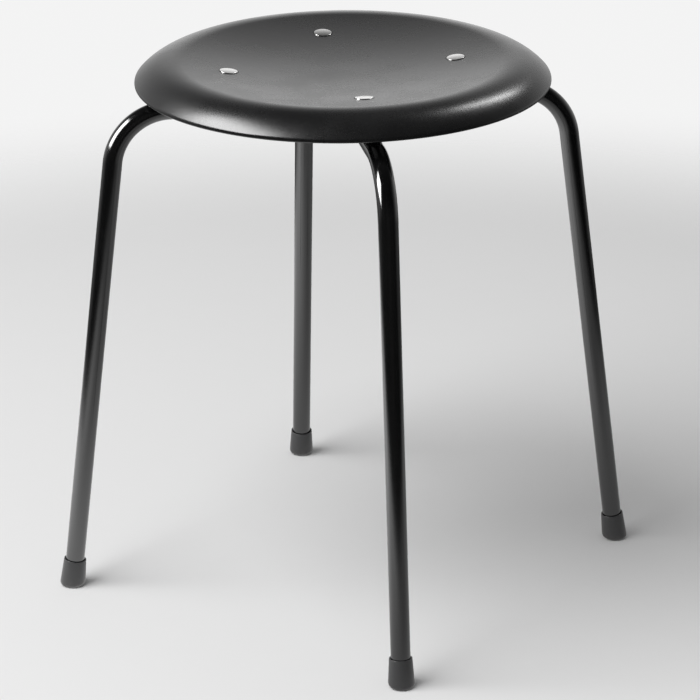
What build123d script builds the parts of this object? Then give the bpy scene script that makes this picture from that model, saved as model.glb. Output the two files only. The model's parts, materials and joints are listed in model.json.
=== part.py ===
import os
from math import asin, cos, degrees, radians, sin, sqrt, tan

from build123d import *

# A round low stool: a dished seat shell on two crossing frames of bent steel tube.
# Origin on the floor under the middle of the seat, +Z up, millimetres.
# The lower frame stands along X, the upper frame along Y.

# Seat shell
seat_radius = 170.0
seat_height = 452.0
dish_curve = 820.0
crest_radius = 137.0
crest_curve = 38.0
crest_turn = 14.0
shoulder_turn = 30.0
edge_curve = 9.0
edge_land = 1.6
edge_round = 1.2
shell_wall = 4.0

# Ribs under the seat
rib_wall = 2.2
rib_floor = 430.0
rib_sink = 1.0
hub_radius = 24.0
rib_count = 8
rib_rise_radius = 112.0
rib_tip_height = 438.0

# Leg tube
tube_diameter = 16.0
tube_wall = 1.5
run_height = 417.0
bend_curve = 48.0
foot_radius = 238.5
leg_splay = 7.2

# Dip that takes the lower frame under the upper one
dip_depth = 17.0
dip_inner = 26.0
dip_outer = 54.0
dip_curve = 40.0

# Cradles that the tubes lie in
cradle_length = 60.0
cradle_width = 24.0
cradle_floor = 420.0
cradle_wall = 2.8
cradle_corner = 4.0
web_wall = 2.4
web_pitch = 18.0
boss_diameter = 16.0
cradle_gap = 0.15

# Fasteners, square to the dish
fastener_radius = 94.0
spot_depth = 0.6
spot_diameter = 16.2
head_diameter = 15.0
head_side = 1.1
head_dome = 0.4
head_round = 0.4
sleeve_diameter = 8.0
sleeve_length = 19.0
sleeve_hole = 8.4
thread_bore = 6.2
thread_depth = 14.0
screw_diameter = 6.0
screw_grip = 10.0
screw_head_diameter = 9.6
screw_head_height = 3.0
screw_point = 0.6
hex_key = 4.0
hex_depth = 1.8
screw_hole = 6.6
access_hole = 11.0
washer_diameter = 10.4
washer_thickness = 2.6
washer_gap = 0.05

# Foot caps
cap_height = 24.0
cap_top_diameter = 18.8
cap_bottom_diameter = 21.8
cap_bore = 16.2
cap_lead = 0.6
sole_thickness = 6.5
sole_cut = 4.0
sole_round = 3.2

# Turn of each leg about the stool's axis
sides = {"right": 0, "back": 90, "left": 180, "front": 270}

# Worked out from the dimensions above
crest_direction = Vector(sin(radians(crest_turn)), cos(radians(crest_turn)))
shoulder_direction = Vector(sin(radians(shoulder_turn)), cos(radians(shoulder_turn)))
rim_width = seat_radius - crest_radius - crest_curve * crest_direction.X
edge_width = edge_curve * (1 - shoulder_direction.X)
shoulder_curve = (rim_width - edge_width) / (shoulder_direction.X - crest_direction.X)
crest_centre = Vector(crest_radius, seat_height - crest_curve)
shoulder_centre = crest_centre + crest_direction * (crest_curve - shoulder_curve)
edge_centre = shoulder_centre + shoulder_direction * (shoulder_curve - edge_curve)
widest_height = edge_centre.Y
edge_height = widest_height - edge_land
curves_apart = dish_curve + crest_curve
dish_slope = degrees(asin(crest_radius / curves_apart))
dish_centre = crest_centre.Y + sqrt(curves_apart**2 - crest_radius**2)
fastener_lean = degrees(asin(fastener_radius / dish_curve))
fastener_height = dish_centre - dish_curve * cos(radians(fastener_lean))
tube_radius = tube_diameter / 2
bore_radius = tube_radius - tube_wall
leg_slope = tan(radians(leg_splay))
leg_corner = foot_radius - leg_slope * run_height
leg_up = Vector(-sin(radians(leg_splay)), 0, cos(radians(leg_splay)))
leg_foot = Vector(foot_radius, 0, 0)
tube_end = leg_foot + leg_up * sole_thickness

os.makedirs("parts", exist_ok=True)


def seat_curves(inset):
    # Dish, crest, shoulder and edge of the seat's top, moved inward by inset
    CenterArc((0, dish_centre), dish_curve + inset, -90, dish_slope)
    CenterArc(crest_centre, crest_curve - inset, 90 + dish_slope, -dish_slope - crest_turn)
    CenterArc(shoulder_centre, shoulder_curve - inset, 90 - crest_turn, crest_turn - shoulder_turn)
    CenterArc(edge_centre, edge_curve - inset, 90 - shoulder_turn, shoulder_turn - 90)


def fastener_plane(depth, turn=0):
    # Plane square to the dish at a fastener, at a depth below the seat's spot face
    lean = Vector(-sin(radians(fastener_lean)), 0, cos(radians(fastener_lean)))
    origin = Vector(fastener_radius, 0, fastener_height) - lean * (spot_depth + depth)
    return Plane(
        origin=origin.rotate(Axis.Z, turn),
        x_dir=Vector(0, 1, 0).rotate(Axis.Z, turn),
        z_dir=lean.rotate(Axis.Z, turn),
    )


def depth_of(height):
    # Depth along a fastener, below its spot face, at which it reaches a height above the floor
    return (fastener_height - height) / cos(radians(fastener_lean)) - spot_depth


washer_depth = depth_of(run_height + bore_radius) + washer_thickness
fastener_spot = fastener_plane(0)
fastener_axis = Axis(fastener_spot.origin, fastener_spot.z_dir)
fastener_section = Plane(fastener_spot.origin, x_dir=-fastener_spot.y_dir, z_dir=(0, -1, 0))
leg_axis = Axis(leg_foot, leg_up)
leg_section = Plane(leg_foot, x_dir=leg_up.cross(Vector(0, -1, 0)), z_dir=(0, -1, 0))

# Seat: ribs and cradles, trimmed to the underside of the shell, then the shell itself
with BuildPart() as seat:
    with BuildSketch(Plane.XY.offset(rib_floor)):
        Circle(fastener_radius + rib_wall / 2)
        Circle(fastener_radius - rib_wall / 2, mode=Mode.SUBTRACT)
        Circle(hub_radius)
        Circle(hub_radius - rib_wall, mode=Mode.SUBTRACT)
        with PolarLocations((hub_radius + seat_radius) / 2, rib_count, start_angle=180 / rib_count):
            Rectangle(seat_radius - hub_radius + rib_wall, rib_wall)
    extrude(amount=seat_height - rib_floor)
    # The ribs' lower edges rise towards the rim
    with BuildSketch(Plane.XZ):
        with BuildLine():
            Polyline(
                (rib_rise_radius, rib_floor),
                (seat_radius, rib_tip_height),
                (seat_radius + rib_wall, rib_tip_height),
                (seat_radius + rib_wall, rib_floor),
                close=True,
            )
        make_face()
    revolve(axis=Axis.Z, mode=Mode.SUBTRACT)
    with BuildSketch(Plane.XY.offset(cradle_floor)):
        with PolarLocations(fastener_radius, len(sides)):
            RectangleRounded(cradle_length, cradle_width, cradle_corner)
            RectangleRounded(
                cradle_length - 2 * cradle_wall,
                cradle_width - 2 * cradle_wall,
                cradle_corner - cradle_wall,
                mode=Mode.SUBTRACT,
            )
        for web in (-web_pitch, 0, web_pitch):
            with PolarLocations(fastener_radius + web, len(sides)):
                Rectangle(web_wall, cradle_width - cradle_wall)
        with PolarLocations(fastener_radius, len(sides)):
            Circle(boss_diameter / 2)
    extrude(amount=seat_height - cradle_floor)
    with BuildSketch(Plane.XZ):
        with BuildLine():
            seat_curves(shell_wall - rib_sink)
            inner_top = dish_centre - dish_curve - shell_wall + rib_sink
            inner_edge = seat_radius - shell_wall + rib_sink
            Polyline(
                (inner_edge, widest_height),
                (inner_edge, cradle_floor),
                (2 * seat_radius, cradle_floor),
                (2 * seat_radius, 2 * seat_height),
                (0, 2 * seat_height),
                (0, inner_top),
            )
        make_face()
    revolve(axis=Axis.Z, mode=Mode.SUBTRACT)
    with BuildSketch(Plane.XZ) as shell_section:
        with BuildLine():
            seat_curves(0)
            seat_curves(shell_wall)
            Polyline(
                (seat_radius, widest_height),
                (seat_radius, edge_height),
                (seat_radius - shell_wall, edge_height),
                (seat_radius - shell_wall, widest_height),
            )
            Line((0, dish_centre - dish_curve - shell_wall), (0, dish_centre - dish_curve))
        make_face()
        fillet(shell_section.vertices().group_by(Axis.Y)[0], edge_round)
    revolve(axis=Axis.Z)
    # Grooves of the cradles, a hair wider than the tubes
    for groove_plane in (Plane.YZ, Plane.XZ):
        with BuildSketch(groove_plane):
            with Locations((0, run_height)):
                Circle(tube_radius + cradle_gap)
        extrude(amount=seat_radius, both=True, mode=Mode.SUBTRACT)
    # Holes and spot faces for the sleeve nuts
    with BuildSketch(*[fastener_plane(0, turn) for turn in sides.values()]):
        Circle(spot_diameter / 2)
    extrude(amount=2 * spot_depth, mode=Mode.SUBTRACT)
    with BuildSketch(*[fastener_plane(0, turn) for turn in sides.values()]):
        Circle(sleeve_hole / 2)
    extrude(amount=-depth_of(cradle_floor), mode=Mode.SUBTRACT)
seat.part.label = "seat"
export_step(seat.part, "parts/seat.step")


def bend_tube(route, radii, turns):
    # One tube, from foot to foot along a route in XZ, drilled at two fasteners
    with BuildPart() as frame:
        with BuildLine(Plane.XZ) as centre:
            FilletPolyline(*route, radius=radii)
        with BuildSketch(Plane(origin=centre.line @ 0, z_dir=centre.line % 0)):
            Circle(tube_radius)
            Circle(bore_radius, mode=Mode.SUBTRACT)
        sweep(path=centre.line)
        with BuildSketch(*[fastener_plane(depth_of(run_height), turn) for turn in turns]):
            Circle(screw_hole / 2)
        extrude(amount=tube_diameter, mode=Mode.SUBTRACT)
        with BuildSketch(*[fastener_plane(depth_of(run_height), turn) for turn in turns]):
            Circle(access_hole / 2)
        extrude(amount=-tube_diameter, mode=Mode.SUBTRACT)
    return frame


leg_points = [(tube_end.X, tube_end.Z), (leg_corner, run_height)]
dip_points = [(dip_outer, run_height), (dip_inner, run_height - dip_depth)]
straight_route = leg_points + [(-x, z) for x, z in reversed(leg_points)]
dipped_route = leg_points + dip_points + [(-x, z) for x, z in reversed(leg_points + dip_points)]

lower_frame = bend_tube(
    dipped_route, [bend_curve, *[dip_curve] * 4, bend_curve], (sides["right"], sides["left"])
)
lower_frame.part.label = "lower_leg_frame"
export_step(lower_frame.part, "parts/lower_leg_frame.step")

upper_frame = bend_tube(straight_route, [bend_curve] * 2, (sides["right"], sides["left"]))
upper_leg_frame = upper_frame.part.rotate(Axis.Z, sides["back"])
upper_leg_frame.label = "upper_leg_frame"
export_step(upper_leg_frame, "parts/upper_leg_frame.step")

# Sleeve nut: a low domed head on the spot face, with a threaded sleeve down through the seat
with BuildPart() as sleeve_nut:
    with BuildSketch(fastener_section) as nut_section:
        with BuildLine():
            dome = ThreePointArc(
                (-head_diameter / 2, head_side),
                (0, head_side + head_dome),
                (head_diameter / 2, head_side),
            )
            Polyline(
                dome @ 1,
                (head_diameter / 2, 0),
                (sleeve_diameter / 2, 0),
                (sleeve_diameter / 2, -sleeve_length),
                (-sleeve_diameter / 2, -sleeve_length),
                (-sleeve_diameter / 2, 0),
                (-head_diameter / 2, 0),
                dome @ 0,
            )
        make_face()
        fillet(nut_section.vertices().sort_by(Axis.Y)[-2:], head_round)
        with Locations((0, -sleeve_length)):
            Rectangle(thread_bore, thread_depth, align=(Align.CENTER, Align.MIN), mode=Mode.SUBTRACT)
        split(bisect_by=Plane.YZ)
    revolve(axis=fastener_axis)

# Screw: its head is inside the tube and its shank reaches up into the sleeve
with BuildPart() as screw:
    with BuildSketch(fastener_plane(washer_depth)):
        Circle(screw_head_diameter / 2)
    extrude(amount=-screw_head_height)
    with BuildSketch(fastener_plane(washer_depth)):
        Circle(screw_diameter / 2)
    extrude(amount=washer_depth - sleeve_length + screw_grip)
    chamfer(screw.edges().group_by(Axis.Z)[-1], screw_point)
    with BuildSketch(fastener_plane(washer_depth + screw_head_height)):
        RegularPolygon(hex_key / 2, 6, major_radius=False)
    extrude(amount=hex_depth, mode=Mode.SUBTRACT)

# Saddle washer: round above to fit the tube's bore, flat below for the screw head
with BuildPart() as saddle_washer:
    with BuildSketch(fastener_plane(washer_depth)):
        Circle(washer_diameter / 2)
        Circle(screw_hole / 2, mode=Mode.SUBTRACT)
    extrude(amount=bore_radius)
    with BuildSketch(Plane.YZ):
        with Locations((0, run_height)):
            Circle(bore_radius - washer_gap)
    extrude(amount=seat_radius, mode=Mode.INTERSECT)

# Foot cap: a tapered cup over the tube's end, cut level at the floor
with BuildPart() as foot_cap:
    with BuildSketch(leg_section):
        with BuildLine():
            Polyline(
                (0, sole_thickness),
                (cap_bore / 2, sole_thickness),
                (cap_bore / 2, cap_height - cap_lead),
                (cap_bore / 2 + cap_lead, cap_height),
                (cap_top_diameter / 2, cap_height),
                (cap_bottom_diameter / 2, 0),
                (cap_bottom_diameter / 2, -sole_cut),
                (0, -sole_cut),
                close=True,
            )
        make_face()
    revolve(axis=leg_axis)
    split(bisect_by=Plane.XY, keep=Keep.TOP)
    fillet(foot_cap.edges().group_by(Axis.Z)[0], sole_round)

# Each small piece stands at all four legs
masters = {
    "sleeve_nut": sleeve_nut,
    "screw": screw,
    "saddle_washer": saddle_washer,
    "foot_cap": foot_cap,
}
for kind, master in masters.items():
    for side, turn in sides.items():
        piece = master.part.rotate(Axis.Z, turn)
        piece.label = f"{kind}_{side}"
        export_step(piece, f"parts/{piece.label}.step")
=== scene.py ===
import json
import math

import bmesh
import bpy
from mathutils import Matrix, Vector

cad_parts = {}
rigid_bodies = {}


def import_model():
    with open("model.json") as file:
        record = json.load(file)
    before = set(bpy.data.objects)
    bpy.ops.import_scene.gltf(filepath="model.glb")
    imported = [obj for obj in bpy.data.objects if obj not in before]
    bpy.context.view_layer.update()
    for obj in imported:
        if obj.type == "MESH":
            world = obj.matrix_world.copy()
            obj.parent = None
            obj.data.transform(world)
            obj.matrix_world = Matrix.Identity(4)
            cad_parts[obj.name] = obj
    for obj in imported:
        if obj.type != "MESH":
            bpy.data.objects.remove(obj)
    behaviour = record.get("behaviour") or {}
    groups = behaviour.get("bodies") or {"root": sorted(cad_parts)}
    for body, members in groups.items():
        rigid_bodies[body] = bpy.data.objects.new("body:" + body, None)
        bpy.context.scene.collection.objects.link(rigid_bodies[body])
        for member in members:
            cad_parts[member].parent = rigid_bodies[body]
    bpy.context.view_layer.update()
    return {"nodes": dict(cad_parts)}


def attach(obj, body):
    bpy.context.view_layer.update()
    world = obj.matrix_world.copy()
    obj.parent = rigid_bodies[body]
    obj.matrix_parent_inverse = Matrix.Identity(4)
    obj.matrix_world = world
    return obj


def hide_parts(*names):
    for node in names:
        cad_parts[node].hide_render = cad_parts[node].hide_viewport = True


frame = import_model()
print("frame loaded with", len(frame["nodes"]), "nodes")

sides = {"right": 0, "back": 90, "left": 180, "front": 270}  # turn of each leg about the stool's axis
fastenerCircle = 0.094  # radius of the circle that the fasteners stand on
tubeHeight = 0.417  # of the tubes' middle where they run level under the seat
floorAxis = (0, 0, 1)
drawAxis = (0, -1, 0)  # profiles are drawn in the XZ plane, turning from +X to +Z
weld = 1e-6  # points nearer than this are one
sliver = 1e-7  # faces thinner than this go
near = 1e-5  # how closely an edge is picked by its place


class Wire:  # a socket of a node tree; sums on wires lay down Math nodes
    def __init__(self, tree, socket=None):
        self.tree = tree
        self.socket = socket

    def node(self, kind, settings=None, sockets=None, out=0):
        made = self.tree.nodes.new("ShaderNode" + kind)
        for name, value in (settings or {}).items():
            setattr(made, name, value)
        self.fill(made, sockets or {})
        return Wire(self.tree, made.outputs[out])

    def fill(self, made, sockets):
        for name, value in sockets.items():
            if isinstance(value, Wire):
                self.tree.links.new(value.socket, made.inputs[name])
            else:
                made.inputs[name].default_value = value

    def sum(self, operation, first, second=0.0):
        return self.node("Math", {"operation": operation}, {0: first, 1: second})

    def __add__(self, other):
        return self.sum("ADD", self, other)

    def __sub__(self, other):
        return self.sum("SUBTRACT", self, other)

    def __mul__(self, other):
        return self.sum("MULTIPLY", self, other)

    def __radd__(self, other):
        return self.sum("ADD", other, self)

    def __rsub__(self, other):
        return self.sum("SUBTRACT", other, self)

    def __rmul__(self, other):
        return self.sum("MULTIPLY", other, self)

    def between(self, low, high, start=0.0, end=1.0):  # smooth step from start at low to end at high
        return self.node(
            "MapRange",
            {"interpolation_type": "SMOOTHSTEP"},
            {"Value": self, "From Min": low, "From Max": high, "To Min": start, "To Max": end},
        )

    def parts(self):
        made = self.tree.nodes.new("ShaderNodeSeparateXYZ")
        self.tree.links.new(self.socket, made.inputs[0])
        return [Wire(self.tree, out) for out in made.outputs]

    def towards(self, heading):  # how far this place or direction lies along a heading
        return self.node("VectorMath", {"operation": "DOT_PRODUCT"}, {0: self, 1: heading}, out=1)

    def noise(self, scale, detail=2.0, rough=0.5):
        sockets = {"Vector": self, "Scale": scale, "Detail": detail, "Roughness": rough}
        return self.node("TexNoise", {}, sockets)

    def mix(self, first, second):  # a colour between two, by this wire
        return self.node("Mix", {"data_type": "RGBA"}, {0: self, 6: first, 7: second}, out=2)

    def tint(self, dark, pale):
        return self.mix((*dark, 1), (*pale, 1))

    def bump(self, distance, under=None):
        sockets = {"Height": self, "Distance": distance, "Strength": 1.0}
        if under:
            sockets["Normal"] = under
        return self.node("Bump", {}, sockets)


def startMaterial(name):
    material = bpy.data.materials.new(name)
    material.use_nodes = True
    ink = Wire(material.node_tree)
    return material, ink, ink.node("TexCoord", out="Object")


def endMaterial(material, ink, sockets):
    ink.fill(material.node_tree.nodes["Principled BSDF"], sockets)
    return material


# Satin black moulded plastic of the seat
seatFinish = {
    "dark": (0.006, 0.006, 0.0063),
    "pale": (0.0115, 0.0115, 0.0118),
    "roughness": 0.28,
    "rubbed": 0.07,
    "speckled": 0.08,
    "bending": 1.53,  # index of refraction
    "cloudScale": 9,
    "speckScale": 420,
    "grainScale": 1300,
    "grainDepth": 0.000012,
    "peelScale": 260,
    "peelDepth": 0.00003,
}


def makeSeatPlastic(finish):
    material, ink, place = startMaterial("seatPlastic")
    cloud = place.noise(finish["cloudScale"], detail=4, rough=0.6)
    speck = place.noise(finish["speckScale"], detail=3, rough=0.65)
    grain = place.noise(finish["grainScale"], rough=0.6)
    peel = place.noise(finish["peelScale"])
    wear = cloud.between(0.35, 0.7)
    uneven = (wear - 0.5) * finish["rubbed"] + (speck - 0.5) * finish["speckled"]
    return endMaterial(material, ink, {
        "Base Color": (speck * 0.6 + wear * 0.4).tint(finish["dark"], finish["pale"]),
        "Roughness": finish["roughness"] + uneven,
        "IOR": finish["bending"],
        "Normal": grain.bump(finish["grainDepth"], peel.bump(finish["peelDepth"])),
    })


# Gloss black powder coat of the tubes
legFinish = {
    "dark": (0.0025, 0.0025, 0.0026),
    "pale": (0.005, 0.005, 0.0052),
    "roughness": 0.13,
    "clouded": 0.1,
    "bending": 1.52,  # index of refraction
    "shine": 1.0,
    "cloudScale": 24,
    "speckScale": 900,
    "peelScale": 420,
    "peelDepth": 0.00002,
}


def makeLegPaint(finish):
    material, ink, place = startMaterial("legPaint")
    cloud = place.noise(finish["cloudScale"], detail=4, rough=0.6)
    speck = place.noise(finish["speckScale"], rough=0.6)
    peel = place.noise(finish["peelScale"], detail=1.5)
    return endMaterial(material, ink, {
        "Base Color": (cloud * 0.5 + speck * 0.5).tint(finish["dark"], finish["pale"]),
        "Roughness": finish["roughness"] + (cloud - 0.5) * finish["clouded"],
        "IOR": finish["bending"],
        "Specular IOR Level": finish["shine"],
        "Normal": peel.bump(finish["peelDepth"]),
    })


# Satin nickel of the fastener heads, turned in fine rings
nutFinish = {
    "dark": (0.64, 0.636, 0.628),
    "pale": (0.78, 0.776, 0.768),
    "roughness": 0.19,
    "clouded": 0.1,
    "cloudScale": 300,
    "fleckScale": 2600,
    "ringPitch": 0.00035,
    "ringDepth": 0.000003,
}


def makeNutMetal(finish):
    material, ink, place = startMaterial("nutMetal")
    across, along, _ = place.node("VectorMath", {"operation": "ABSOLUTE"}, {0: place}).parts()
    outward = ink.sum("MAXIMUM", across, along) - fastenerCircle
    sideways = ink.sum("MINIMUM", across, along)
    fromMiddle = ink.sum("SQRT", outward * outward + sideways * sideways)
    rings = ink.sum("SINE", fromMiddle * (2 * math.pi / finish["ringPitch"]))
    cloud = place.noise(finish["cloudScale"], detail=3, rough=0.6)
    fleck = place.noise(finish["fleckScale"], rough=0.6)
    return endMaterial(material, ink, {
        "Base Color": (cloud * 0.6 + fleck * 0.4).tint(finish["dark"], finish["pale"]),
        "Metallic": 1.0,
        "Roughness": finish["roughness"] + (cloud - 0.5) * finish["clouded"],
        "Normal": (rings * 0.5 + fleck).bump(finish["ringDepth"]),
    })


# Zinc plate of the screws and washers
zincFinish = {
    "dark": (0.36, 0.36, 0.37),
    "pale": (0.55, 0.55, 0.56),
    "screwRoughness": 0.34,
    "washerRoughness": 0.48,
    "clouded": 0.25,
    "cloudScale": 500,
    "grainScale": 3000,
    "grainDepth": 0.000004,
}


def makeZinc(name, finish, roughness):
    material, ink, place = startMaterial(name)
    cloud = place.noise(finish["cloudScale"], detail=4, rough=0.7)
    return endMaterial(material, ink, {
        "Base Color": cloud.between(0.3, 0.7).tint(finish["dark"], finish["pale"]),
        "Metallic": 1.0,
        "Roughness": roughness + (cloud - 0.5) * finish["clouded"],
        "Normal": place.noise(finish["grainScale"]).bump(finish["grainDepth"]),
    })


# Dark grey plastic of the foot caps, dusty by the floor
capFinish = {
    "dark": (0.031, 0.031, 0.032),
    "pale": (0.059, 0.059, 0.06),
    "dust": (0.11, 0.107, 0.1),
    "roughness": 0.42,
    "clouded": 0.12,
    "cloudScale": 120,
    "dustHeight": 0.008,
    "dustCover": 0.6,
    "dustRoughness": 0.3,
    "grainScale": 1500,
    "grainDepth": 0.00002,
}


def makeCapPlastic(finish):
    material, ink, place = startMaterial("capPlastic")
    cloud = place.noise(finish["cloudScale"], detail=4, rough=0.6)
    grain = place.noise(finish["grainScale"], rough=0.6)
    low = place.parts()[2].between(0.0, finish["dustHeight"], 1.0, 0.0)
    dusty = low * cloud.between(0.35, 0.7) * finish["dustCover"]
    clean = (cloud * 0.5 + grain * 0.5).tint(finish["dark"], finish["pale"])
    uneven = (cloud - 0.5) * finish["clouded"] + dusty * finish["dustRoughness"]
    return endMaterial(material, ink, {
        "Base Color": dusty.mix(clean, (*finish["dust"], 1)),
        "Roughness": finish["roughness"] + uneven,
        "Normal": grain.bump(finish["grainDepth"]),
    })


seatPlastic = makeSeatPlastic(seatFinish)
legPaint = makeLegPaint(legFinish)
nutMetal = makeNutMetal(nutFinish)
capPlastic = makeCapPlastic(capFinish)
screwMetal = makeZinc("screwMetal", zincFinish, zincFinish["screwRoughness"])
washerMetal = makeZinc("washerMetal", zincFinish, zincFinish["washerRoughness"])
print("materials made")


def turned(angle, axis="Z"):
    return Matrix.Rotation(math.radians(angle), 4, axis)


def vertsOf(geom):
    return [item for item in geom if isinstance(item, bmesh.types.BMVert)]


def edgesOf(geom):
    return [item for item in geom if isinstance(item, bmesh.types.BMEdge)]


def facesOf(geom):
    return [item for item in geom if isinstance(item, bmesh.types.BMFace)]


def reach(bm, vert, x, z):  # a straight line of a profile
    made = bmesh.ops.extrude_vert_indiv(bm, verts=[vert])["verts"][0]
    made.co = (x, 0, z)
    return made


def arc(bm, vert, x, z, angle, steps):  # a round of a profile, about a centre
    made = bmesh.ops.spin(
        bm, geom=[vert], cent=(x, 0, z), axis=drawAxis, angle=math.radians(angle), steps=steps
    )
    return vertsOf(made["geom_last"])[0]


def spinRound(bm, steps):  # a whole turn of a profile about the Z axis
    bmesh.ops.spin(
        bm, geom=bm.verts[:] + bm.edges[:], cent=(0, 0, 0), axis=floorAxis,
        angle=2 * math.pi, steps=steps, use_merge=True,
    )
    closeUp(bm)


def closeUp(bm):
    bmesh.ops.remove_doubles(bm, verts=bm.verts, dist=weld)
    bmesh.ops.dissolve_degenerate(bm, edges=bm.edges, dist=sliver)
    bmesh.ops.recalc_face_normals(bm, faces=bm.faces)


def ringEdges(bm, radius, height):  # the edges of one ring of a turned piece
    found = []
    for edge in bm.edges:
        if all(abs(v.co.xy.length - radius) < near and abs(v.co.z - height) < near for v in edge.verts):
            found.append(edge)
    return found


def roundOff(bm, edges, size, segments):
    bmesh.ops.bevel(
        bm, geom=edges, offset=size, segments=segments, profile=0.5, affect="EDGES", material=-1
    )


def lookAlike(bm, count):  # copies of a piece round the Z axis
    whole = bm.verts[:] + bm.edges[:] + bm.faces[:]
    bmesh.ops.spin(
        bm, geom=whole, cent=(0, 0, 0), axis=floorAxis, angle=2 * math.pi * (count - 1) / count,
        steps=count - 1, use_duplicate=True,
    )


def addRod(bm, radius, length, place, segments=48):  # a plain round rod, by its middle
    bmesh.ops.create_cone(
        bm, cap_ends=True, segments=segments, radius1=radius, radius2=radius, depth=length, matrix=place
    )


def toMesh(bm, name):
    mesh = bpy.data.meshes.new(name)
    bm.to_mesh(mesh)
    bm.free()
    return mesh


def carve(bm, cutter):  # the piece less the cutter
    objects = []
    for name, solid in (("carved", bm), ("cutter", cutter)):
        item = bpy.data.objects.new(name, toMesh(solid, name))
        bpy.context.scene.collection.objects.link(item)
        objects.append(item)
    cut = objects[0].modifiers.new("cut", "BOOLEAN")
    cut.object = objects[1]
    cut.operation = "DIFFERENCE"
    cut.solver = "EXACT"
    bpy.context.view_layer.update()
    graph = bpy.context.evaluated_depsgraph_get()
    made = bpy.data.meshes.new_from_object(objects[0].evaluated_get(graph))
    result = bmesh.new()
    result.from_mesh(made)
    for item in objects:
        used = item.data
        bpy.data.objects.remove(item)
        bpy.data.meshes.remove(used)
    bpy.data.meshes.remove(made)
    return result


def addPiece(name, bm, material, slot, *nodes, sharp=35):
    for face in bm.faces:
        face.smooth = True
    for edge in bm.edges:
        edge.smooth = edge.calc_face_angle(0.0) < math.radians(sharp)
    piece = bpy.data.objects.new(name, toMesh(bm, name))
    bpy.context.scene.collection.objects.link(piece)
    piece.data.materials.append(material)
    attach(piece, "root")
    if nodes:
        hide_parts(*nodes)
    print("piece", name, len(piece.data.polygons), "faces")
    return piece


# Seat shell: dish, crest, shoulder and rolled edge, each an arc of the profile
seatShape = {
    "radius": 0.170,
    "height": 0.452,
    "dishCurve": 0.820,
    "crestRadius": 0.137,
    "crestCurve": 0.038,
    "crestTurn": 8,
    "shoulderTurn": 48,
    "edgeCurve": 0.003,
    "edgeLand": 0.0016,
    "edgeRound": 0.0012,
    "wall": 0.004,
    "steps": 256,
}
crestSin = math.sin(math.radians(seatShape["crestTurn"]))
crestCos = math.cos(math.radians(seatShape["crestTurn"]))
shoulderSin = math.sin(math.radians(seatShape["shoulderTurn"]))
shoulderCos = math.cos(math.radians(seatShape["shoulderTurn"]))
rimWidth = seatShape["radius"] - seatShape["crestRadius"] - seatShape["crestCurve"] * crestSin
shoulderCurve = (rimWidth - seatShape["edgeCurve"] * (1 - shoulderSin)) / (shoulderSin - crestSin)
crestX = seatShape["crestRadius"]
crestZ = seatShape["height"] - seatShape["crestCurve"]
shoulderX = crestX + (seatShape["crestCurve"] - shoulderCurve) * crestSin
shoulderZ = crestZ + (seatShape["crestCurve"] - shoulderCurve) * crestCos
edgeX = shoulderX + (shoulderCurve - seatShape["edgeCurve"]) * shoulderSin
edgeZ = shoulderZ + (shoulderCurve - seatShape["edgeCurve"]) * shoulderCos
curvesApart = seatShape["dishCurve"] + seatShape["crestCurve"]
dishSlope = math.degrees(math.asin(crestX / curvesApart))
dishZ = crestZ + math.sqrt(curvesApart ** 2 - crestX ** 2)


def dishHeight(radius, inset=0.0):
    return dishZ - math.sqrt((seatShape["dishCurve"] + inset) ** 2 - radius ** 2)


# Fasteners, square to the dish
fastenerShape = {"spotDepth": 0.0006, "spotDiameter": 0.0162, "spotCutter": 0.004}
fastenerLean = math.degrees(math.asin(fastenerCircle / seatShape["dishCurve"]))


def fastenerPlace(turn, depth=0.0):  # a fastener's own frame, at a depth below its spot face
    onDish = Matrix.Translation((fastenerCircle, 0, dishHeight(fastenerCircle)))
    below = Matrix.Translation((0, 0, -fastenerShape["spotDepth"] - depth))
    return turned(turn) @ onDish @ turned(-fastenerLean, "Y") @ below


def makeSeatShell(shape):
    bm = bmesh.new()
    wall = shape["wall"]
    bottom = edgeZ - shape["edgeLand"]
    lip = shape["edgeRound"]
    vert = bm.verts.new((0, 0, dishHeight(0)))
    vert = arc(bm, vert, 0, dishZ, dishSlope, steps=44)
    vert = arc(bm, vert, crestX, crestZ, -dishSlope - shape["crestTurn"], steps=14)
    vert = arc(bm, vert, shoulderX, shoulderZ, shape["crestTurn"] - shape["shoulderTurn"], steps=24)
    vert = arc(bm, vert, edgeX, edgeZ, shape["shoulderTurn"] - 90, steps=10)
    vert = reach(bm, vert, shape["radius"], bottom + lip)
    vert = arc(bm, vert, shape["radius"] - lip, bottom + lip, -90, steps=6)
    vert = reach(bm, vert, shape["radius"] - wall + lip, bottom)
    vert = arc(bm, vert, shape["radius"] - wall + lip, bottom + lip, -90, steps=6)
    innerTurn = math.asin((shape["radius"] - wall - shoulderX) / (shoulderCurve - wall))
    vert = reach(bm, vert, shape["radius"] - wall, shoulderZ + (shoulderCurve - wall) * math.cos(innerTurn))
    vert = arc(bm, vert, shoulderX, shoulderZ, math.degrees(innerTurn) - shape["crestTurn"], steps=12)
    vert = arc(bm, vert, crestX, crestZ, dishSlope + shape["crestTurn"], steps=8)
    arc(bm, vert, 0, dishZ, -dishSlope, steps=20)
    spinRound(bm, shape["steps"])
    spots = bmesh.new()
    tall = fastenerShape["spotCutter"]
    for turn in sides.values():
        addRod(spots, fastenerShape["spotDiameter"] / 2, tall, fastenerPlace(turn, -tall / 2), segments=64)
    return carve(bm, spots)


addPiece("seatShell", makeSeatShell(seatShape), seatPlastic, "seat_plastic", "seat")

# Ribs under the seat: eight spokes, a hub ring and a ring through the fasteners
ribShape = {
    "wall": 0.0022,
    "floor": 0.430,
    "hub": 0.024,
    "count": 8,
    "riseFrom": 0.112,
    "tip": 0.438,
    "tipTurn": 38,
    "steps": 128,
}


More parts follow.
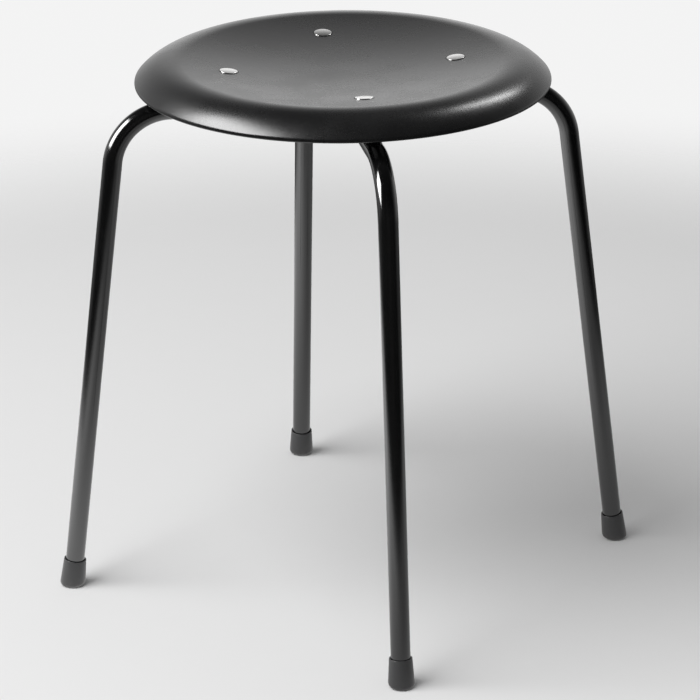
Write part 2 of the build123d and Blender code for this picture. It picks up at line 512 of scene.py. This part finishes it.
def makeRibs(shape):
    bm = bmesh.new()
    sink = seatShape["wall"] / 2  # the ribs' tops end within the shell's wall
    hubTurn = math.degrees(math.asin(shape["hub"] / (seatShape["dishCurve"] + sink)))
    vert = bm.verts.new((shape["hub"], 0, dishHeight(shape["hub"], sink)))
    vert = arc(bm, vert, 0, dishZ, dishSlope - hubTurn, steps=12)
    vert = arc(bm, vert, crestX, crestZ, -dishSlope - seatShape["crestTurn"], steps=5)
    vert = arc(bm, vert, shoulderX, shoulderZ, seatShape["crestTurn"] - shape["tipTurn"], steps=8)
    vert = reach(bm, vert, vert.co.x, shape["tip"])
    vert = reach(bm, vert, shape["riseFrom"], shape["floor"])
    reach(bm, vert, shape["hub"], shape["floor"])
    spoke = bmesh.ops.contextual_create(bm, geom=bm.verts[:])["faces"]
    bmesh.ops.translate(bm, verts=bm.verts, vec=(0, -shape["wall"] / 2, 0))
    pulled = bmesh.ops.extrude_face_region(bm, geom=spoke)["geom"]
    bmesh.ops.translate(bm, verts=vertsOf(pulled), vec=(0, shape["wall"], 0))
    bmesh.ops.rotate(bm, verts=bm.verts, cent=(0, 0, 0), matrix=turned(180 / shape["count"]).to_3x3())
    lookAlike(bm, shape["count"])
    for radius in (shape["hub"] - shape["wall"] / 2, fastenerCircle):
        ring = bmesh.new()
        top = dishHeight(radius, sink)
        vert = ring.verts.new((radius - shape["wall"] / 2, 0, top))
        vert = reach(ring, vert, radius + shape["wall"] / 2, top)
        vert = reach(ring, vert, radius + shape["wall"] / 2, shape["floor"])
        reach(ring, vert, radius - shape["wall"] / 2, shape["floor"])
        ring.verts.ensure_lookup_table()
        ring.edges.new((ring.verts[0], ring.verts[3]))
        spinRound(ring, shape["steps"])
        made = toMesh(ring, "ring")
        bm.from_mesh(made)
        bpy.data.meshes.remove(made)
    bmesh.ops.recalc_face_normals(bm, faces=bm.faces)
    return bm


addPiece("seatRibs", makeRibs(ribShape), seatPlastic, "seat_plastic")

# Cradles that the tubes lie in, with webs across and a boss round each fastener
cradleShape = {
    "length": 0.060,
    "width": 0.024,
    "floor": 0.420,
    "wall": 0.0028,
    "corner": 0.004,
    "cornerRise": 0.005,  # an edge that rises more than this is rounded
    "hollowGap": 0.0004,  # between the hollow's end and the tray's top
    "webWall": 0.0024,
    "webPitch": 0.018,
    "boss": 0.016,
    "groove": 0.00815,
    "grooveLength": 0.2,
}


def makeCradles(shape):
    middle = fastenerCircle
    sink = seatShape["wall"] / 2

    def block(centre, length, width, corner):  # a box whose top lies within the shell's wall
        made = bmesh.new()
        bmesh.ops.create_cube(made, size=1.0)
        bmesh.ops.scale(made, verts=made.verts, vec=(length, width, 1))
        bmesh.ops.translate(made, verts=made.verts, vec=(centre, 0, 0))
        for vert in made.verts:
            vert.co.z = dishHeight(vert.co.x, sink) if vert.co.z > 0 else shape["floor"]
        if corner:
            rise = shape["cornerRise"]
            rising = [e for e in made.edges if abs(e.verts[0].co.z - e.verts[1].co.z) > rise]
            roundOff(made, rising, corner, segments=5)
        return made

    tray = block(middle, shape["length"], shape["width"], shape["corner"])
    under = [f for f in tray.faces if f.normal.z < -0.9]  # what looks down
    bmesh.ops.inset_region(tray, faces=under, thickness=shape["wall"], use_even_offset=True)
    pulled = bmesh.ops.extrude_face_region(tray, geom=under)["geom"]
    bmesh.ops.delete(tray, geom=under, context="FACES_ONLY")
    for vert in vertsOf(pulled):
        vert.co.z = dishHeight(vert.co.x, sink) - shape["hollowGap"]
    bodies = [tray]
    for offset in (-shape["webPitch"], 0, shape["webPitch"]):
        bodies.append(block(middle + offset, shape["webWall"], shape["width"] - shape["wall"], 0))
    boss = bmesh.new()
    tall = dishHeight(middle, sink) - shape["floor"]
    addRod(boss, shape["boss"] / 2, tall, Matrix.Translation((middle, 0, shape["floor"] + tall / 2)))
    bodies.append(boss)
    whole = bmesh.new()
    tube = Matrix.Translation((middle, 0, tubeHeight)) @ turned(90, "Y")
    for body in bodies:
        groove = bmesh.new()
        addRod(groove, shape["groove"], shape["grooveLength"], tube, segments=96)
        made = toMesh(carve(body, groove), "body")
        whole.from_mesh(made)
        bpy.data.meshes.remove(made)
    lookAlike(whole, len(sides))
    return whole


addPiece("seatCradles", makeCradles(cradleShape), seatPlastic, "seat_plastic")

# Leg frames: each one tube bent from foot to foot
tubeShape = {
    "radius": 0.008,
    "bore": 0.0065,
    "bend": 0.048,
    "footRadius": 0.2385,
    "splay": 7.2,
    "start": 0.0065,
    "dipDepth": 0.017,
    "dipInner": 0.026,
    "dipOuter": 0.054,
    "dipBend": 0.040,
    "accessHole": 0.011,
    "accessDepth": 0.016,
    "segments": 56,
    "bendStep": 2.5,  # degrees from one section of a bend to the next
    "fewestSteps": 10,
}


def bendTube(shape, dipped):
    splay = math.radians(shape["splay"])
    corner = shape["footRadius"] - math.tan(splay) * tubeHeight
    bendLength = shape["bend"] * math.tan(math.radians(90 - shape["splay"]) / 2)
    legLength = tubeHeight / math.cos(splay) - shape["start"] - bendLength
    toMiddle = corner - bendLength
    if dipped:
        fall = math.atan2(shape["dipDepth"], shape["dipOuter"] - shape["dipInner"])
        dipLength = shape["dipBend"] * math.tan(fall / 2)
        slant = math.hypot(shape["dipDepth"], shape["dipOuter"] - shape["dipInner"]) - 2 * dipLength
        fall = math.degrees(fall)
        across = [
            (toMiddle - shape["dipOuter"] - dipLength, shape["dipBend"], fall),
            (slant, shape["dipBend"], -fall),
            (2 * (shape["dipInner"] - dipLength), shape["dipBend"], -fall),
            (slant, shape["dipBend"], fall),
            (toMiddle - shape["dipOuter"] - dipLength, shape["bend"], 90 - shape["splay"]),
        ]
    else:
        across = [(2 * toMiddle, shape["bend"], 90 - shape["splay"])]
    moves = [(legLength, shape["bend"], 90 - shape["splay"]), *across, (legLength, 0, 0)]
    heading = Vector((-math.sin(splay), 0, math.cos(splay)))
    place = Vector((shape["footRadius"], 0, 0)) + heading * shape["start"]
    bm = bmesh.new()
    bmesh.ops.create_circle(bm, segments=shape["segments"], radius=shape["bore"])
    outer = bmesh.ops.extrude_edge_only(bm, edges=bm.edges[:])["geom"]
    bmesh.ops.scale(bm, verts=vertsOf(outer), vec=(shape["radius"] / shape["bore"],) * 3)
    bmesh.ops.transform(bm, verts=bm.verts, matrix=Matrix.Translation(place) @ turned(-shape["splay"], "Y"))
    section = bm.faces[:]
    inside = []  # sections that the tube has grown past
    for length, curve, angle in moves:
        made = bmesh.ops.extrude_face_region(bm, geom=section)["geom"]
        bmesh.ops.translate(bm, verts=vertsOf(made), vec=heading * length)
        place = place + heading * length
        inside.append(section)
        section = facesOf(made)
        if angle:
            centre = place + Vector((-heading.z, 0, heading.x)) * math.copysign(curve, angle)
            made = bmesh.ops.spin(
                bm, geom=section, cent=centre, axis=drawAxis, angle=math.radians(angle),
                steps=max(shape["fewestSteps"], round(abs(angle) / shape["bendStep"])),
            )["geom_last"]
            inside.append(section)
            section = facesOf(made)
            bend = turned(-angle, "Y")
            place = centre + bend @ (place - centre)
            heading = bend @ heading
    for grown in inside[1:]:
        bmesh.ops.delete(bm, geom=grown, context="FACES")
    closeUp(bm)
    holes = bmesh.new()
    deep = shape["accessDepth"]
    toTube = (dishHeight(fastenerCircle) - tubeHeight) / math.cos(math.radians(fastenerLean))
    for turn in (0, 180):  # from the tube's middle down through its lower wall
        addRod(holes, shape["accessHole"] / 2, deep, fastenerPlace(turn, toTube + deep / 2))
    return carve(bm, holes)


addPiece("lowerLegFrame", bendTube(tubeShape, True), legPaint, "leg_paint", "lower_leg_frame")
upperTube = bendTube(tubeShape, False)
bmesh.ops.rotate(upperTube, verts=upperTube.verts, cent=(0, 0, 0), matrix=turned(90).to_3x3())
addPiece("upperLegFrame", upperTube, legPaint, "leg_paint", "upper_leg_frame")

# Sleeve nuts: a low domed head over a plain sleeve
nutShape = {
    "head": 0.015,
    "side": 0.0011,
    "dome": 0.0004,
    "round": 0.0003,
    "sleeve": 0.008,
    "length": 0.019,
    "bore": 0.0062,
    "boreDepth": 0.014,
    "steps": 96,
}


def makeNut(shape, turn):
    bm = bmesh.new()
    half = shape["head"] / 2
    domeCurve = (half ** 2 + shape["dome"] ** 2) / (2 * shape["dome"])
    top = shape["side"] + shape["dome"]
    vert = bm.verts.new((0, 0, top))
    vert = arc(bm, vert, 0, top - domeCurve, -math.degrees(math.asin(half / domeCurve)), steps=16)
    vert = reach(bm, vert, half, 0)
    vert = reach(bm, vert, shape["sleeve"] / 2, 0)
    vert = reach(bm, vert, shape["sleeve"] / 2, -shape["length"])
    vert = reach(bm, vert, shape["bore"] / 2, -shape["length"])
    vert = reach(bm, vert, shape["bore"] / 2, shape["boreDepth"] - shape["length"])
    reach(bm, vert, 0, shape["boreDepth"] - shape["length"])
    spinRound(bm, shape["steps"])
    roundOff(bm, ringEdges(bm, half, shape["side"]), shape["round"], segments=6)
    bmesh.ops.transform(bm, verts=bm.verts, matrix=fastenerPlace(turn))
    return bm


for side, turn in sides.items():
    addPiece(f"sleeveNut.{side}", makeNut(nutShape, turn), nutMetal, "nut_metal", f"sleeve_nut_{side}")

# Foot caps: tapered cups over the tube ends, cut level at the floor
capShape = {
    "height": 0.024,
    "top": 0.0188,
    "bottom": 0.0218,
    "bore": 0.0162,
    "lead": 0.0006,
    "sole": 0.0065,
    "soleRound": 0.0040,
    "lipRound": 0.0004,
    "spare": 0.004,  # cut off at the floor
    "steps": 96,
}


def makeCap(shape, turn):
    bm = bmesh.new()
    spare = shape["spare"]
    vert = bm.verts.new((0, 0, shape["sole"]))
    vert = reach(bm, vert, shape["bore"] / 2, shape["sole"])
    vert = reach(bm, vert, shape["bore"] / 2, shape["height"] - shape["lead"])
    vert = reach(bm, vert, shape["bore"] / 2 + shape["lead"], shape["height"])
    vert = reach(bm, vert, shape["top"] / 2, shape["height"])
    taper = (shape["bottom"] - shape["top"]) / 2 / shape["height"]
    vert = reach(bm, vert, shape["bottom"] / 2 + taper * spare, -spare)
    reach(bm, vert, 0, -spare)
    spinRound(bm, shape["steps"])
    roundOff(bm, ringEdges(bm, shape["top"] / 2, shape["height"]), shape["lipRound"], segments=4)
    foot = Matrix.Translation((tubeShape["footRadius"], 0, 0)) @ turned(-tubeShape["splay"], "Y")
    bmesh.ops.transform(bm, verts=bm.verts, matrix=foot)
    whole = bm.verts[:] + bm.edges[:] + bm.faces[:]
    cut = bmesh.ops.bisect_plane(
        bm, geom=whole, plane_co=(0, 0, 0), plane_no=floorAxis, clear_inner=True
    )["geom_cut"]
    bmesh.ops.contextual_create(bm, geom=edgesOf(cut))
    closeUp(bm)
    level = [e for e in bm.edges if all(abs(v.co.z) < weld for v in e.verts)]
    roundOff(bm, level, shape["soleRound"], segments=6)
    bmesh.ops.transform(bm, verts=bm.verts, matrix=turned(turn))
    return bm


for side, turn in sides.items():
    addPiece(f"footCap.{side}", makeCap(capShape, turn), capPlastic, "cap_plastic", f"foot_cap_{side}")

for side in sides:
    for kind, metal in (("screw", screwMetal), ("saddle_washer", washerMetal)):
        kept = frame["nodes"][f"{kind}_{side}"].data.materials
        kept.clear()
        kept.append(metal)
print("screws and washers kept")

# Studio: a pale floor that fades into the backdrop, which the gloss sees brighter low down and behind, and
# a painted glow on the floor that only the gloss sees, brightest to the left.
# Each curve is where it starts and ends, and its value at either end
studio = {
    "turn": -10.1771,  # of the studio and the camera about the stool's axis
    "floorColour": 0.8,
    "floorUneven": 0.004,
    "floorGrain": 30,
    "floorRoughness": 0.9,
    "floorShine": 0.1,
    "floorRadius": 1.6,
    "floorFade": (0.85, 1.35),
    # painted glow of the floor, seen in the gloss alone: brighter to the left, dying away far off, dimmer
    # to the front and back
    "paintedGlowLeft": (-0.3, 0.6, 0.5, 1.8),
    "paintedGlowFar": (0.6, 1.1, 1.0, 0.05),
    "paintedGlowFront": (-0.4, -0.12, 0.7, 1.0),
    "paintedGlowBehind": (-0.08, 0.12, 1.0, 0.85),
    "backdrop": 0.9,
    "fill": 0.3,
    "glowUp": (0.05, 0.72, 1.4, 0.07),
    "glowBelow": (-0.35, -0.06, 0.1, 1.0),
    "glowAside": (0.05, 0.35, 1.0, 0.55),
    "glowBehind": (-0.4, 0.75, 0.035, 0.9),
    "aim": (0.0, 0.0, 0.42),
}
studioTurn = turned(studio["turn"])
toRight = studioTurn @ Vector((1, 0, 0))
toBack = studioTurn @ Vector((0, 1, 0))

# Lamps: the one overhead lights the stool. The others show in the gloss alone, of all pieces or of those
# that onto names, and have fades: the shares of the face that die away at the sides, below and above
lamps = {
    "overhead": {"place": (-1.5, -0.7, 2.7), "size": (2.2, 2.2), "level": 6.0},
    "softbox": {
        "place": (-1.235, -0.208, 0.961),
        "size": (1.0, 0.9),
        "level": 16.0,
        "fades": (0.2, 0.1, 0.1),
        "onto": ("lowerLegFrame", "upperLegFrame", "sleeveNut", "footCap"),
    },
    "rimbox": {
        "place": (-0.868, -0.137, 1.428),
        "size": (1.12, 0.93),
        "level": 16.0,
        "fades": (0.12, 0.2, 0.44),
        "onto": ("seatShell",),
    },
    "strip": {
        "place": (1.014, 1.267, 1.913),
        "size": (0.3, 1.0),
        "level": 19.0,
        "fades": (0.3, 0.3, 0.3),
    },
}


def addLamp(name, place, size, level, fades=(), onto=()):
    lamp = bpy.data.lights.new(name, "AREA")
    lamp.shape = "RECTANGLE"
    lamp.size, lamp.size_y = size
    lamp.energy = level * math.pi * size[0] * size[1]  # level is the brightness of the lamp's face
    item = bpy.data.objects.new(name, lamp)
    away = Vector(place) - Vector(studio["aim"])
    facing = away.to_track_quat("Z", "Y").to_matrix().to_4x4()
    item.matrix_world = studioTurn @ (Matrix.Translation(place) @ facing)
    item.visible_glossy = bool(fades)
    item.visible_diffuse = not fades
    if onto:
        lit = bpy.data.collections.new(name)
        for piece in bpy.data.objects:
            if piece.name.startswith(onto):
                lit.objects.link(piece)
        item.light_linking.receiver_collection = lit
    if fades:
        lamp.use_nodes = True
        ink = Wire(lamp.node_tree)
        across, along, _ = ink.node("NewGeometry", out="Parametric").parts()
        edge, low, high = fades
        glow = across.between(0.0, edge) * across.between(1 - edge, 1.0, 1.0, 0.0)
        glow = glow * along.between(0.0, low) * along.between(1 - high, 1.0, 1.0, 0.0)
        ink.fill(lamp.node_tree.nodes["Emission"], {"Strength": glow})
    bpy.context.scene.collection.objects.link(item)


def makeFloor():
    bm = bmesh.new()
    bmesh.ops.create_circle(bm, cap_ends=True, segments=96, radius=studio["floorRadius"])
    floor = bpy.data.objects.new("floor", toMesh(bm, "floor"))
    bpy.context.scene.collection.objects.link(floor)
    material, ink, place = startMaterial("floorPaper")
    shade = studio["floorColour"]
    uneven = studio["floorUneven"]
    grain = place.noise(studio["floorGrain"], detail=3)
    endMaterial(material, ink, {
        "Base Color": grain.tint((shade - uneven,) * 3, (shade + uneven,) * 3),
        "Roughness": studio["floorRoughness"],
        "Specular IOR Level": studio["floorShine"],
    })
    tree = material.node_tree
    paper = Wire(tree, tree.nodes["Principled BSDF"].outputs[0])
    far = place.node("VectorMath", {"operation": "LENGTH"}, {0: place}, out=1)
    behind = place.towards(toBack)
    # The floor glows in the gloss alone: a painted glow, not lamp light, brighter to the left and dying
    # away far from the stool
    paintedGlow = place.towards(-toRight).between(*studio["paintedGlowLeft"]) * far.between(*studio["paintedGlowFar"])
    paintedGlow = paintedGlow * behind.between(*studio["paintedGlowFront"]) * behind.between(*studio["paintedGlowBehind"])
    lit = ink.node("Emission", {}, {"Color": (1, 1, 1, 1), "Strength": paintedGlow})
    mirrored = ink.node("LightPath", out="Is Glossy Ray")
    shown = ink.node("MixShader", {}, {0: mirrored, 1: paper, 2: lit})
    below = ink.node("NewGeometry", out="Backfacing")  # the floor is clear from below
    fade = ink.sum("MAXIMUM", far.between(*studio["floorFade"]), below)
    faded = ink.node("MixShader", {}, {0: fade, 1: shown, 2: ink.node("BsdfTransparent")})
    ink.fill(tree.nodes["Material Output"], {"Surface": faded})
    floor.data.materials.append(material)


def makeWorld():
    world = bpy.data.worlds.new("studio")
    world.use_nodes = True
    tree = world.node_tree
    tree.nodes.clear()
    ink = Wire(tree)
    ray = ink.node("LightPath", out="Is Camera Ray")
    mirrored = ink.node("LightPath", out="Is Glossy Ray")
    through = ink.node("LightPath", out="Is Transmission Ray")
    heading = ink.node("TexCoord", out="Generated")
    up = heading.parts()[2]
    aside = ink.sum("ABSOLUTE", heading.towards(toRight))
    glow = up.between(*studio["glowUp"]) * up.between(*studio["glowBelow"])
    glow = glow * aside.between(*studio["glowAside"])
    glow = glow * heading.towards(toBack).between(*studio["glowBehind"])
    shown = ray * studio["backdrop"] + (mirrored + through) * glow
    hidden = (1 - ink.sum("MINIMUM", ray + mirrored + through, 1.0)) * studio["fill"]
    light = ink.node("Background", {}, {"Color": (1, 1, 1, 1), "Strength": shown + hidden})
    output = tree.nodes.new("ShaderNodeOutputWorld")
    ink.fill(output, {"Surface": light})
    bpy.context.scene.world = world


makeFloor()
makeWorld()
for name, lamp in lamps.items():
    addLamp(name, **lamp)
print("studio lit")

# Camera: the photograph's viewing angle
view = {
    "distance": 2.521212,
    "height": 1.200746,
    "down": 21.735,
    "swing": -0.0863,
    "roll": -0.5116,
    "sensor": 36,
    "pixels": 700,  # across the picture
    "focalPixels": 3216.086,
}
cameraData = bpy.data.cameras.new("camera")
cameraData.sensor_width = view["sensor"]
cameraData.lens = view["sensor"] * view["focalPixels"] / view["pixels"]
camera = bpy.data.objects.new("camera", cameraData)
camera.matrix_world = (
    studioTurn
    @ Matrix.Translation((0, -view["distance"], view["height"]))
    @ turned(view["swing"])
    @ turned(90 - view["down"], "X")
    @ turned(view["roll"])
)
bpy.context.scene.collection.objects.link(camera)
bpy.context.scene.camera = camera
bpy.context.scene.view_settings.view_transform = "Standard"
print("camera placed")
